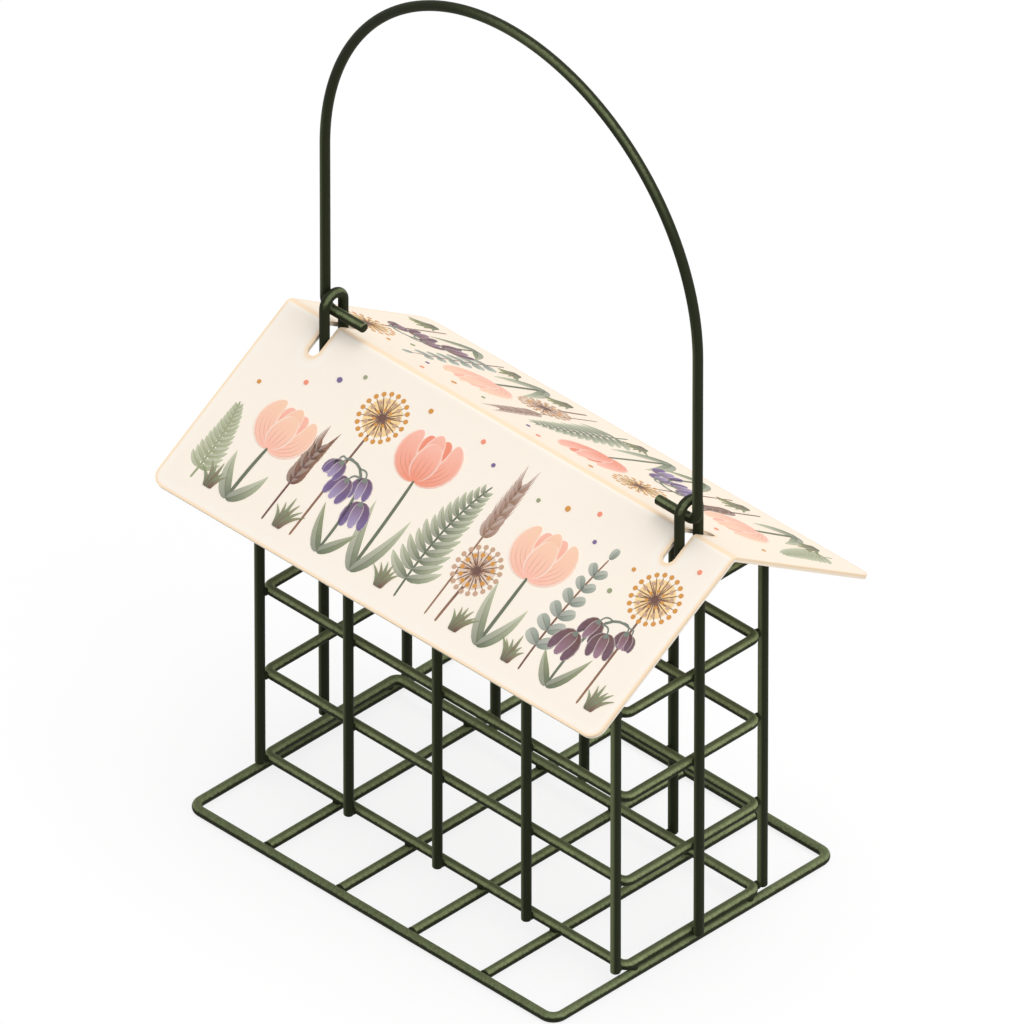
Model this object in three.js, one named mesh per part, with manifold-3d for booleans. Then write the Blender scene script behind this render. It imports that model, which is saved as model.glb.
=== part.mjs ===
// Suet feeder: a welded wire cage standing on a wire tray, under a folded sheet roof,
// with a wire bail that hooks through two loops on the cage and holds the roof down.
//
// Millimetres, +Z up. X runs along the cage's long side and Y from front to back.
// The origin is on the ground, under the middle of the tray.

import * as THREE from 'three';
import { mergeVertices } from 'three/addons/utils/BufferGeometryUtils.js';
import Module from 'manifold-3d';

const wasm = await Module();
wasm.setup();

// Wire: every wire is the same coated round wire
const wireDiameter = 2.8;
const wireRadius = wireDiameter / 2;
const cutEdgeRadius = 0.5;
const weldGap = 0.1;
const weldPitch = wireDiameter + weldGap;
const wireSides = 12;
const bendSteps = 5;
const cutEdgeSteps = 2;

// Cage: rings one above the other, with uprights welded outside them
const cageInsideLength = 128;
const cageInsideDepth = 45;
const ringSpacing = 26.75;
const ringBendRadius = 2.2;
const ringCount = 5;
const cornerUprightInset = 0.65;
const uprightOverhang = 0.6;
const uprightRoofGap = 0.3;
const sideUprightCount = 5;

// Tray: a frame with wires across it, both a little wider than the cage
const trayEndOutset = 0.5;
const trayApron = 26.7;
const trayBendRadius = 3.3;
const trayCrossWireCount = 4;

// Roof: one sheet folded along its ridge, with a slot for each loop
const roofPitch = THREE.MathUtils.degToRad(32.2);
const sheetThickness = 1.2;
const foldInsideRadius = 1;
const gableOverhang = 15.35;
const eaveOverhang = 26.85;
const roofCornerRadius = 4.1;
const roofSeatGap = 0.3;
const slotSideGap = 0.4;
const slotEndGap = 3.9;
const cutOverrun = 10;
const foldSteps = 6;
const roofCornerSteps = 7;
const slotEndSteps = 7;

// Loops: upturned U's welded on the top ring's ends
const loopInset = 1.1;
const loopLegSpread = 6.8;
const loopRise = 6.6;
const loopSteps = 12;

// Bail: one wire, with its feet turned in through the loops
const pivotDrop = 1.9;
const bailSideGap = 0.3;
const bailLegHeight = 51;
const bailCrownRise = 69.4;
const bailFootBend = 3;
const bailFootLength = 14.4;
const bailCrownSteps = 44;

// Where the wires' axes run
const ringHalfLength = (cageInsideLength + wireDiameter) / 2;
const ringHalfDepth = (cageInsideDepth + wireDiameter) / 2;
const trayHalfLength = ringHalfLength + trayEndOutset;
const trayHalfDepth = ringHalfDepth + trayApron;
const trayZ = wireRadius;
const bottomRingZ = trayZ + weldPitch;
const topRingZ = bottomRingZ + (ringCount - 1) * ringSpacing;
const loopX = ringHalfLength - loopInset;

// The roof's underside is a plane on each side of the ridge, resting on the top ring
const underside = {
  slope: Math.tan(roofPitch),
  offset: ringHalfDepth * Math.sin(roofPitch) + topRingZ * Math.cos(roofPitch) + wireRadius + roofSeatGap,
  heightAt: (y) => underside.offset / Math.cos(roofPitch) - Math.abs(y) * underside.slope,
};
const foldOutsideRadius = foldInsideRadius + sheetThickness;
const apexZ = underside.heightAt(0) + sheetThickness / Math.cos(roofPitch);
const foldZ = apexZ - foldOutsideRadius / Math.cos(roofPitch);
const ridgeZ = foldZ + foldOutsideRadius;
const loopBendZ = ridgeZ + loopRise;
const pivotZ = loopBendZ - pivotDrop;

const wireCoat = new THREE.MeshStandardMaterial({ color: 0x3a422c, roughness: 0.42, metalness: 0 });
const roofEnamel = new THREE.MeshStandardMaterial({ color: 0xfcf1e2, roughness: 0.38, metalness: 0 });

// A flat drawing stood upright: on the X-Z plane, or on the Y-Z plane
const alongX = new THREE.Matrix4().makeRotationX(Math.PI / 2);
const alongY = new THREE.Matrix4().makeBasis(
  new THREE.Vector3(0, 1, 0),
  new THREE.Vector3(0, 0, 1),
  new THREE.Vector3(1, 0, 0),
);

const quarter = Math.PI / 2;

function arcPoints(x, y, radiusX, radiusY, from, to, steps) {
  return new THREE.EllipseCurve(x, y, radiusX, radiusY, from, to, to < from).getPoints(steps);
}

function roundedRectangle(halfLength, halfDepth, radius) {
  const points = [];
  for (let corner = 0; corner < 4; corner += 1) {
    const sideX = corner === 0 || corner === 3 ? 1 : -1;
    const sideY = corner < 2 ? 1 : -1;
    const x = sideX * (halfLength - radius);
    const y = sideY * (halfDepth - radius);
    points.push(...arcPoints(x, y, radius, radius, corner * quarter, (corner + 1) * quarter, bendSteps));
  }
  return points;
}

// The wire's section is a polygon round the true circle, so that the flats of two
// crossing wires face each other
function wireSection() {
  const cornerRadius = wireRadius / Math.cos(Math.PI / wireSides);
  const corners = [];
  for (let k = 0; k < wireSides; k += 1) {
    const turn = ((k + 1 / 2) / wireSides) * 2 * Math.PI;
    corners.push(new THREE.Vector2(Math.cos(turn), Math.sin(turn)).multiplyScalar(cornerRadius));
  }
  return corners;
}

// Where the section is set along the wire: mitred at each change of direction
function wireStations(route, closed) {
  const count = route.length;
  return route.map((point, i) => {
    const before = closed || i > 0 ? route[(i + count - 1) % count] : null;
    const after = closed || i < count - 1 ? route[(i + 1) % count] : null;
    const arriving = (before ? point.clone().sub(before) : after.clone().sub(point)).normalize();
    const leaving = (after ? after.clone().sub(point) : point.clone().sub(before)).normalize();
    const heading = arriving.clone().add(leaving).normalize();
    const across = new THREE.Vector2(-heading.y, heading.x);
    return { point, heading, across, mitre: 1 / heading.dot(arriving), taper: 1 };
  });
}

// A cut end has its edge rounded off: a few sections, smaller towards the end
function roundedEnd(end, inward) {
  const stations = [];
  for (let step = cutEdgeSteps; step >= 0; step -= 1) {
    const turn = (step / cutEdgeSteps) * quarter;
    const depth = cutEdgeRadius * (1 - Math.sin(turn));
    const narrowing = cutEdgeRadius * (1 - Math.cos(turn));
    stations.push({
      ...end,
      point: end.point.clone().addScaledVector(inward, depth),
      taper: 1 - narrowing / wireRadius,
    });
  }
  return stations;
}

// A wire bent in its own flat plane, along a route of points
function bentWire(route, closed = false) {
  const section = wireSection();
  let stations = wireStations(route, closed);
  if (!closed) {
    const first = stations[0];
    const last = stations[stations.length - 1];
    stations = [
      ...roundedEnd(first, first.heading),
      ...stations.slice(1, -1),
      ...roundedEnd(last, last.heading.clone().negate()).reverse(),
    ];
  }
  const positions = [];
  for (const { point, across, mitre, taper } of stations) {
    for (const corner of section) {
      const sideways = corner.x * mitre * taper;
      positions.push(point.x + across.x * sideways, point.y + across.y * sideways, corner.y * taper);
    }
  }
  const indices = [];
  const bands = closed ? stations.length : stations.length - 1;
  for (let band = 0; band < bands; band += 1) {
    const here = band * wireSides;
    const next = ((band + 1) % stations.length) * wireSides;
    for (let k = 0; k < wireSides; k += 1) {
      const beside = (k + 1) % wireSides;
      indices.push(here + k, here + beside, next + beside);
      indices.push(here + k, next + beside, next + k);
    }
  }
  if (!closed) {
    const end = (stations.length - 1) * wireSides;
    for (let k = 1; k < wireSides - 1; k += 1) {
      indices.push(0, k + 1, k);
      indices.push(end, end + k, end + k + 1);
    }
  }
  const geometry = new THREE.BufferGeometry();
  geometry.setAttribute('position', new THREE.Float32BufferAttribute(positions, 3));
  geometry.setIndex(indices);
  geometry.computeVertexNormals();
  return geometry;
}

function straightWire(start, end) {
  return bentWire([new THREE.Vector2(0, start), new THREE.Vector2(0, end)]);
}

// Solids, for joining and cutting
function toSolid(geometry) {
  const bare = geometry.clone();
  bare.deleteAttribute('normal');
  bare.deleteAttribute('uv');
  const merged = mergeVertices(bare);
  return new wasm.Manifold(
    new wasm.Mesh({
      numProp: 3,
      vertProperties: new Float32Array(merged.attributes.position.array),
      triVerts: new Uint32Array(merged.index.array),
    }),
  );
}

function toGeometry(solid) {
  const mesh = solid.getMesh();
  const geometry = new THREE.BufferGeometry();
  geometry.setAttribute('position', new THREE.Float32BufferAttribute(mesh.vertProperties, 3));
  geometry.setIndex(Array.from(mesh.triVerts));
  geometry.computeVertexNormals();
  return geometry;
}

// The folded sheet, drawn as its end view and run along the ridge past both gables
function foldedSheet() {
  const eaveY = ringHalfDepth + eaveOverhang + cutOverrun;
  const outsideZ = apexZ - eaveY * underside.slope;
  const insideY = eaveY - sheetThickness * Math.sin(roofPitch);
  const insideZ = outsideZ - sheetThickness * Math.cos(roofPitch);
  const endView = new THREE.Shape();
  endView.moveTo(insideY, insideZ);
  endView.lineTo(eaveY, outsideZ);
  endView.absarc(0, foldZ, foldOutsideRadius, quarter - roofPitch, quarter + roofPitch, false);
  endView.lineTo(-eaveY, outsideZ);
  endView.lineTo(-insideY, insideZ);
  endView.absarc(0, foldZ, foldInsideRadius, quarter + roofPitch, quarter - roofPitch, true);
  endView.closePath();
  const length = 2 * (ringHalfLength + gableOverhang + cutOverrun);
  const options = { depth: length, bevelEnabled: false, curveSegments: foldSteps };
  return new THREE.ExtrudeGeometry(endView, options).translate(0, 0, -length / 2).applyMatrix4(alongY);
}

// One panel's outline, square to the panel: `side` is 1 for the rear panel and -1 for the front.
// It runs past the ridge, where the other panel's outline takes over.
function panelOutline(side) {
  const halfLength = ringHalfLength + gableOverhang;
  const width = (ringHalfDepth + eaveOverhang) / Math.cos(roofPitch);
  const inner = halfLength - roofCornerRadius;
  const shape = new THREE.Shape();
  shape.moveTo(-halfLength, -cutOverrun);
  shape.lineTo(halfLength, -cutOverrun);
  shape.absarc(inner, width - roofCornerRadius, roofCornerRadius, 0, quarter, false);
  shape.absarc(-inner, width - roofCornerRadius, roofCornerRadius, quarter, 2 * quarter, false);
  shape.closePath();
  const options = { depth: 2 * cutOverrun, bevelEnabled: false, curveSegments: roofCornerSteps };
  const slope = new THREE.Matrix4().makeBasis(
    new THREE.Vector3(side, 0, 0),
    new THREE.Vector3(0, side * Math.cos(roofPitch), -Math.sin(roofPitch)),
    new THREE.Vector3(0, side * Math.sin(roofPitch), Math.cos(roofPitch)),
  );
  return new THREE.ExtrudeGeometry(shape, options)
    .translate(0, 0, -cutOverrun)
    .applyMatrix4(slope)
    .translate(0, 0, apexZ);
}

// A round-ended slot across the ridge, cut straight down
function slotCutter(x) {
  const endRadius = wireRadius + slotSideGap;
  const endY = loopLegSpread / 2 + wireRadius + slotEndGap - endRadius;
  const shape = new THREE.Shape();
  shape.moveTo(endRadius, -endY);
  shape.lineTo(endRadius, endY);
  shape.absarc(0, endY, endRadius, 0, 2 * quarter, false);
  shape.absarc(0, -endY, endRadius, 2 * quarter, 4 * quarter, false);
  const options = { depth: 2 * cutOverrun, bevelEnabled: false, curveSegments: slotEndSteps };
  return new THREE.ExtrudeGeometry(shape, options).translate(x, 0, ridgeZ - cutOverrun);
}

function roofGeometry() {
  const outline = toSolid(panelOutline(1)).add(toSolid(panelOutline(-1)));
  let sheet = toSolid(foldedSheet()).intersect(outline);
  for (const end of [-1, 1]) {
    sheet = sheet.subtract(toSolid(slotCutter(end * loopX)));
  }
  return toGeometry(sheet);
}

const feeder = new THREE.Group();
feeder.name = 'suet_feeder';

function addPiece(name, geometry, material) {
  const piece = new THREE.Mesh(geometry, material);
  piece.name = name;
  feeder.add(piece);
  return piece;
}

function addTray() {
  const frame = roundedRectangle(trayHalfLength, trayHalfDepth, trayBendRadius);
  addPiece('tray_frame', bentWire(frame, true), wireCoat).position.z = trayZ;
  const reach = trayHalfDepth - wireRadius - weldGap;
  const spacing = (2 * trayHalfLength) / (trayCrossWireCount + 1);
  for (let i = 1; i <= trayCrossWireCount; i += 1) {
    const wire = addPiece(`tray_cross_wire_${i}`, straightWire(-reach, reach), wireCoat);
    wire.position.set(i * spacing - trayHalfLength, 0, trayZ);
  }
}

function addRings() {
  const route = roundedRectangle(ringHalfLength, ringHalfDepth, ringBendRadius);
  for (let i = 0; i < ringCount; i += 1) {
    const ring = addPiece(`cage_ring_${i + 1}`, bentWire(route, true), wireCoat);
    ring.position.z = bottomRingZ + i * ringSpacing;
  }
}

function addUpright(name, x, y) {
  const bottom = bottomRingZ - uprightOverhang;
  const outerFace = Math.abs(y) + wireRadius;
  const underRoof = underside.heightAt(outerFace) - uprightRoofGap;
  const top = Math.min(topRingZ + uprightOverhang, underRoof);
  const upright = addPiece(name, straightWire(bottom, top), wireCoat);
  upright.setRotationFromMatrix(alongX);
  upright.position.set(x, y, 0);
}

function addUprights() {
  const y = ringHalfDepth + weldPitch;
  const outermost = ringHalfLength - cornerUprightInset;
  const spacing = (2 * outermost) / (sideUprightCount - 1);
  for (let i = 0; i < sideUprightCount; i += 1) {
    const x = i * spacing - outermost;
    addUpright(`front_upright_${i + 1}`, x, -y);
    addUpright(`rear_upright_${i + 1}`, x, y);
  }
  addUpright('left_end_upright', -(ringHalfLength + weldPitch), 0);
  addUpright('right_end_upright', ringHalfLength + weldPitch, 0);
}

function addHangerLoops() {
  const legY = loopLegSpread / 2;
  const footZ = topRingZ + wireRadius + weldGap;
  const route = [
    new THREE.Vector2(-legY, footZ),
    ...arcPoints(0, loopBendZ, legY, legY, 2 * quarter, 0, loopSteps),
    new THREE.Vector2(legY, footZ),
  ];
  for (const [name, x] of [['left_hanger_loop', -loopX], ['right_hanger_loop', loopX]]) {
    const loop = addPiece(name, bentWire(route), wireCoat);
    loop.setRotationFromMatrix(alongY);
    loop.position.x = x;
  }
}

function addBail() {
  const legX = loopX + wireDiameter + bailSideGap;
  const tipX = legX - bailFootLength;
  const bendX = legX - bailFootBend;
  const bendZ = pivotZ + bailFootBend;
  const crownZ = pivotZ + bailLegHeight;
  const route = [
    new THREE.Vector2(-tipX, pivotZ),
    ...arcPoints(-bendX, bendZ, bailFootBend, bailFootBend, -quarter, -2 * quarter, bendSteps),
    ...arcPoints(0, crownZ, legX, bailCrownRise, 2 * quarter, 0, bailCrownSteps),
    ...arcPoints(bendX, bendZ, bailFootBend, bailFootBend, 0, -quarter, bendSteps),
    new THREE.Vector2(tipX, pivotZ),
  ];
  addPiece('bail', bentWire(route), wireCoat).setRotationFromMatrix(alongX);
}

addTray();
addRings();
addUprights();
addHangerLoops();
addPiece('roof', roofGeometry(), roofEnamel);
addBail();

export default feeder;
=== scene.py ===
"""The looks of a suet feeder: coated wires with their welds, an enamelled roof with a print, and a stage.

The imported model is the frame. Lengths are in metres, and a length written in millimetres is followed by * MM.
"""

import math
import random

import bmesh
import bpy
from bpy.props import FloatProperty, FloatVectorProperty, IntProperty, PointerProperty
from mathutils import Matrix, Vector


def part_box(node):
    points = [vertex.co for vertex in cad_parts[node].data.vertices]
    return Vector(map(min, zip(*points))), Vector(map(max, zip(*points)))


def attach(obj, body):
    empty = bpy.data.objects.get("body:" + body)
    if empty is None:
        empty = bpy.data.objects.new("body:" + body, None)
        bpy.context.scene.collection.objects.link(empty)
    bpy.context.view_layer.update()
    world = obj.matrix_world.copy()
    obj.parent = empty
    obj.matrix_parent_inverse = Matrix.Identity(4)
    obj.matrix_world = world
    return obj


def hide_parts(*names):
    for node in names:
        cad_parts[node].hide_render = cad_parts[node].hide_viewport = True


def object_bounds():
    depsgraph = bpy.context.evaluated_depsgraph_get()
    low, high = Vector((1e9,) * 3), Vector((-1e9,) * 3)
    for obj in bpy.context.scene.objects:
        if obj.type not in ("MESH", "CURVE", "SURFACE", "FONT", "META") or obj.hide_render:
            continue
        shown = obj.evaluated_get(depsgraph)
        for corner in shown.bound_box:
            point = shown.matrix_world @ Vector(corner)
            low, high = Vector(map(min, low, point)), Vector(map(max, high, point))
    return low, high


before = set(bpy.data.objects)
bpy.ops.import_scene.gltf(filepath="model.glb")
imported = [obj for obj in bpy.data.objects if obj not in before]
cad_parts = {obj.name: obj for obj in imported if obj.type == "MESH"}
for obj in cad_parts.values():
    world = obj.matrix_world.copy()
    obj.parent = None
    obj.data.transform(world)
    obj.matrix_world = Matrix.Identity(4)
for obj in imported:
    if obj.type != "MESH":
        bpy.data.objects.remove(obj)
packed_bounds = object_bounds()

bl_info = {
    "name": "Suet feeder looks",
    "version": (1, 0, 0),
    "blender": (4, 5, 0),
    "location": "3D View > Sidebar > Feeder",
    "description": "Makes a suet feeder's coated wires, welds, printed roof and stage round its packed model",
    "category": "Object",
}

MM = 0.001
X = Vector((1, 0, 0))
Y = Vector((0, 1, 0))
Z = Vector((0, 0, 1))
WHITE = (1, 1, 1, 1)
GREY = (0.5, 0.5, 0.5, 1)
MERGE_DISTANCE = 0.001 * MM


def paint(red, green, blue):
    """A colour as it looks on a screen, from 0 to 255, as the linear colour that a shader takes."""
    linear = []
    for level in (red, green, blue):
        share = level / 255
        linear.append(share / 12.92 if share <= 0.04045 else ((share + 0.055) / 1.055) ** 2.4)
    return tuple(linear)


def colour_setting(name, red, green, blue, description):
    colour = paint(red, green, blue)
    return FloatVectorProperty(
        name=name, description=description, default=colour, subtype="COLOR", size=3, min=0, max=1
    )


def amount_setting(name, amount, description, unit="NONE"):
    return FloatProperty(name=name, description=description, default=amount, unit=unit, min=0)


def length_setting(name, length, description):
    return amount_setting(name, length, description, "LENGTH")


class WireSettings(bpy.types.PropertyGroup):
    # The first three colours below are painted highlights: the olive laid on the sides of a wire that face up
    # or to one side, where light falls. The one for wires from front to back and the one for the rings' long
    # sides are lighter, painted light that makes up for the roof's shade over them.
    coat: colour_setting("Coat, worn", 121, 131, 94, "Colour of the coat where it is worn")
    coat_side: colour_setting("Coat, worn, cross", 149, 160, 115, "Worn colour of wires from front to back")
    coat_ring: colour_setting("Coat, worn, rings", 159, 170, 123, "Worn colour of the rings' long sides")
    # The coat's own dark colour, which the painted highlights lie over.
    coat_dark: colour_setting("Coat", 42, 46, 30, "Colour of the coat on a wire's sides and underneath")
    grain: length_setting("Grain", 0.75 * MM, "Size of the coat's fine grains")
    patch: length_setting("Patch", 6 * MM, "Size of the coat's worn patches")
    sides: IntProperty(name="Sides", description="Faces round each wire", default=28, min=8, max=64)
    cut_edge: length_setting("Cut edge", 0.5 * MM, "Rounding of a wire's cut ends")
    tray_bend: length_setting("Tray bend", 3.3 * MM, "Radius of the tray's corners, at the wire's middle")
    ring_bend: length_setting("Ring bend", 2.2 * MM, "Radius of the rings' corners, at the wire's middle")
    foot_bend: length_setting("Foot bend", 3 * MM, "Radius of the bend above each foot of the bail")
    foot_length: length_setting("Foot length", 14.4 * MM, "From the bail's leg to the tip of its foot")
    leg_height: length_setting("Leg height", 51 * MM, "From the bail's feet up to where its arch starts")


class WeldSettings(bpy.types.PropertyGroup):
    width: length_setting("Width", 1.2 * MM, "Half the width of the coated bead between two crossing wires")
    depth: length_setting("Depth", 1 * MM, "Half the bead's depth, from one wire towards the other")
    collar: length_setting("Collar", 1.54 * MM, "Radius of the bead round a wire's end that butts on another")
    collar_depth: length_setting("Collar depth", 0.7 * MM, "Half the depth of that bead")


class RoofSettings(bpy.types.PropertyGroup):
    enamel: colour_setting("Enamel", 253, 243, 230, "Colour of the roof's sheet")
    # Painted shade: the rear slope is given a deeper cream than the front, as if it caught less light.
    enamel_rear_shade: colour_setting("Enamel, rear", 253, 237, 216, "Colour of the rear slope, a little deeper")
    clouded: colour_setting("Enamel, clouded", 252, 240, 224, "Colour of the faint clouds in the enamel")
    # Painted highlight: a paler line just inside the edge band, as light along the rounded edge.
    bright: colour_setting("Enamel, bright", 254, 248, 239, "Colour of the enamel just inside the edge band")
    band: colour_setting("Edge band", 252, 226, 192, "Colour of the band along the sheet's edges and ridge")
    band_width: length_setting("Band width", 0.4 * MM, "Width of the band along the edges")
    band_fade: length_setting("Band fade", 0.6 * MM, "Width over which the band runs out into the enamel")
    edge: length_setting("Edge rounding", 0.22 * MM, "Rounding of the sheet's cut edges")
    pitch: amount_setting("Pitch", math.radians(32.2), "Slope of the roof", "ROTATION")
    sheet: length_setting("Sheet", 1.2 * MM, "Thickness of the sheet")
    fold: length_setting("Fold", 2.2 * MM, "Outside radius of the fold along the ridge")
    corner: length_setting("Corner", 4.1 * MM, "Radius of the sheet's corners")
    slot_half_width: length_setting("Slot half width", 1.8 * MM, "Half the width of each slot for a loop")
    slot_half_length: length_setting("Slot half length", 8.7 * MM, "Half the level length of each slot")


class PrintSettings(bpy.types.PropertyGroup):
    layer: length_setting("Layer", 0.006 * MM, "Height of each layer of ink over the one below")
    sink: length_setting("Sink", 0.04 * MM, "How far the ink reaches into the enamel")
    ground: length_setting("Ground line", 6 * MM, "From the eave up to the foot of the plants")
    seed: IntProperty(name="Seed", description="Start of the plants' small differences", default=7, min=0)


class StageSettings(bpy.types.PropertyGroup):
    azimuth: amount_setting("Azimuth", math.radians(44.94), "Camera's way round the feeder", "ROTATION")
    elevation: amount_setting("Elevation", math.radians(35.85), "Camera's height over the ground", "ROTATION")
    distance: length_setting("Distance", 12.404, "From the camera to the middle of the feeder")
    lens: amount_setting("Lens", 1700, "Focal length, so long that the view is nearly parallel", "CAMERA")
    aim_right: length_setting("Aim right", 0.3 * MM, "How far right of the feeder's middle the camera looks")
    aim_down: length_setting("Aim down", 20.3 * MM, "How far below the feeder's middle the camera looks")
    key: amount_setting("Key light", 36, "Strength of the soft light overhead", "POWER")
    side: amount_setting("Side light", 12, "Strength of the light from the right", "POWER")
    sky: amount_setting("Sky", 0.6, "Strength of the even light from all round")
    shadow: FloatProperty(
        name="Shadow",
        description="Share of the shade on the floor that shows",
        default=0.17,
        subtype="FACTOR",
        min=0,
        max=1,
    )


class Signal:
    """A number, colour or vector that varies over a surface. Arithmetic on it adds the Math nodes."""

    def __init__(self, shader, socket):
        self.shader = shader
        self.socket = socket

    def __add__(self, other):
        return self.shader.math("ADD", self, other)

    def __sub__(self, other):
        return self.shader.math("SUBTRACT", self, other)

    def __rsub__(self, other):
        return self.shader.math("SUBTRACT", other, self)

    def __mul__(self, other):
        return self.shader.math("MULTIPLY", self, other)

    def __truediv__(self, other):
        return self.shader.math("DIVIDE", self, other)

    def __abs__(self):
        return self.shader.math("ABSOLUTE", self)

    __radd__ = __add__
    __rmul__ = __mul__


class Shader:
    """Nodes of a material or the world, each added by one call that takes its type, settings and inputs."""

    def __init__(self, owner):
        self.owner = owner
        owner.use_nodes = True
        self.tree = owner.node_tree
        self.tree.nodes.clear()

    def node(self, kind, settings=None, inputs=None, output=0):
        made = self.tree.nodes.new(kind)
        for name, value in (settings or {}).items():
            setattr(made, name, value)
        for name, value in (inputs or {}).items():
            if isinstance(value, Signal):
                self.tree.links.new(value.socket, made.inputs[name])
            else:
                made.inputs[name].default_value = value
        return Signal(self, made.outputs[output]) if made.outputs else made

    def math(self, operation, *values):
        return self.node("ShaderNodeMath", {"operation": operation}, dict(enumerate(values)))

    def least(self, first, *others):
        for other in others:
            first = self.math("MINIMUM", first, other)
        return first

    def most(self, first, *others):
        for other in others:
            first = self.math("MAXIMUM", first, other)
        return first

    def length(self, across, along):
        return self.math("SQRT", across * across + along * along)

    def position(self):
        """Where a point of the surface is, as one vector and as its three parts."""
        place = self.node("ShaderNodeTexCoord", output="Object")
        return place, self.parts(place)

    def parts(self, vector):
        split = self.node("ShaderNodeSeparateXYZ", inputs={0: vector}).socket.node
        return [Signal(self, socket) for socket in split.outputs]

    def noise(self, place, size, detail):
        """Soft patches of about the given size, from 0 to 1."""
        scaled = self.node("ShaderNodeMapping", inputs={"Vector": place, "Scale": [1 / size] * 3})
        inputs = {"Vector": scaled, "Scale": 1.0, "Detail": detail, "Roughness": 0.5}
        return self.node("ShaderNodeTexNoise", {"noise_dimensions": "3D"}, inputs)

    def ramp(self, value, low, high):
        """0 below low, 1 above high and smooth between."""
        inputs = {"Value": value, "From Min": low, "From Max": high, "To Min": 0.0, "To Max": 1.0}
        return self.node("ShaderNodeMapRange", {"interpolation_type": "SMOOTHSTEP"}, inputs)

    def mix(self, share, first, second):
        return self.blend("MIX", share, first, second)

    def blend(self, kind, share, first, second):
        settings = {"data_type": "RGBA", "blend_type": kind}
        inputs = {0: share, 6: self.opaque(first), 7: self.opaque(second)}
        return self.node("ShaderNodeMix", settings, inputs, output=2)

    def opaque(self, colour):
        return colour if isinstance(colour, Signal) else (*colour[:3], 1.0)

    def bump(self, height, distance, strength):
        inputs = {"Height": height, "Distance": distance, "Strength": strength}
        return self.node("ShaderNodeBump", inputs=inputs)

    def surface(self, **inputs):
        """Ends the material with a Principled surface, whose sockets are named with _ for each space."""
        named = {name.replace("_", " "): value for name, value in inputs.items()}
        finish = self.node("ShaderNodeBsdfPrincipled", inputs=named)
        self.node("ShaderNodeOutputMaterial", inputs={"Surface": finish})
        return self.owner

    def choose(self, share, first, second):
        return self.node("ShaderNodeMixShader", inputs={0: share, 1: first, 2: second})

    def seen(self):
        """1 where the camera, gloss or clear glass looks at the surface, and 0 for the light it gives."""
        rays = ("Is Camera Ray", "Is Glossy Ray", "Is Transmission Ray")
        return self.most(*(self.node("ShaderNodeLightPath", output=ray) for ray in rays))


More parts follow.
